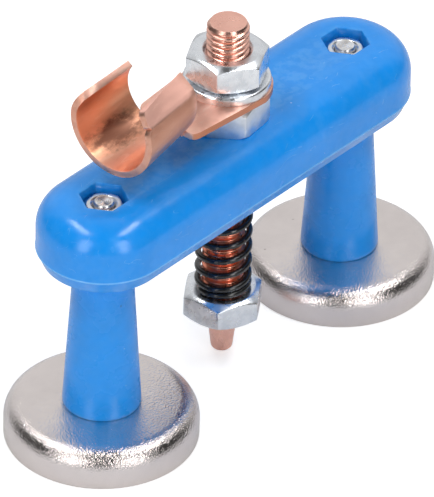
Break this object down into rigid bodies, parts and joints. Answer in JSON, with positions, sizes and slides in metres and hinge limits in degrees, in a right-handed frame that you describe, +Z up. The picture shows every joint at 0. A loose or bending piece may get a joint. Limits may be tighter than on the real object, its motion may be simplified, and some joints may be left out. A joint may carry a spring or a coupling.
{
  "type": "magnetic ground clamp",
  "caption": "Magnetic welding ground clamp: pot magnets under a plastic bridge, with a spring-loaded copper contact rod and an open cable lug.",
  "frame": {"origin": "on the plane of the magnets' working faces, midway between the magnets, on the contact rod's axis", "axes": "+X along the bridge, away from the cable lug's barrel, +Z up along the contact rod, away from the workpiece"},
  "size_m": [0.1276, 0.0446, 0.0913],
  "materials": {
    "blue_plastic": "bright blue moulded plastic, semi-gloss, slightly mottled and scuffed",
    "nickel_plate": "satin nickel plate on turned steel",
    "ferrite": "dark grey ground ferrite",
    "potting_resin": "black potting resin",
    "zinc_plate": "bright bluish zinc plate on steel",
    "copper": "bright scuffed copper",
    "spring_steel": "glossy black oiled spring steel"
  },
  "bodies": {
    "base": {"bridge": "blue_plastic", "leg_left": "blue_plastic", "leg_right": "blue_plastic", "magnet_cup_left": "nickel_plate", "magnet_cup_right": "nickel_plate", "ring_magnet_left": "ferrite", "ring_magnet_right": "ferrite", "potting_ring_left": "potting_resin", "potting_ring_right": "potting_resin", "centre_pole_left": "nickel_plate", "centre_pole_right": "nickel_plate", "leg_screw_left": "zinc_plate", "leg_screw_right": "zinc_plate", "leg_nut_left": "zinc_plate", "leg_nut_right": "zinc_plate"},
    "spring": {"spring": "spring_steel"},
    "rod": {"contact_rod": "copper", "stop_nut": "zinc_plate", "spring_nut": "zinc_plate"},
    "lug": {"cable_lug": "copper"},
    "washer": {"flat_washer": "zinc_plate"},
    "clamp_nut": {"clamp_nut": "zinc_plate"}
  },
  "joints": [
    {"name": "rod_turn", "type": "hinge", "parent": "base", "child": "spring", "pos_m": [0, 0, 0.0486], "axis": [0, 0, 1], "continuous": true},
    {"name": "rod_press", "type": "slide", "parent": "spring", "child": "rod", "axis": [0, 0, 1], "range_m": [0, 0.01], "stiffness_N_per_m": 4200, "springref_m": -0.0072, "deforming": ["spring"]},
    {"name": "lug_swivel", "type": "hinge", "parent": "rod", "child": "lug", "pos_m": [0, 0, 0.0741], "axis": [0, 0, 1], "continuous": true},
    {"name": "clamp_nut_travel", "type": "slide", "parent": "rod", "child": "washer", "axis": [0, 0, 1], "range_m": [0, 0.015]},
    {"name": "clamp_nut_turn", "type": "hinge", "parent": "washer", "child": "clamp_nut", "pos_m": [0, 0, 0.0808], "axis": [0, 0, 1], "range_deg": [0, 3600]}
  ],
  "couplings": [
    {"joint": "clamp_nut_turn", "follows": "clamp_nut_travel", "rad_per_m": 4188.8}
  ]
}
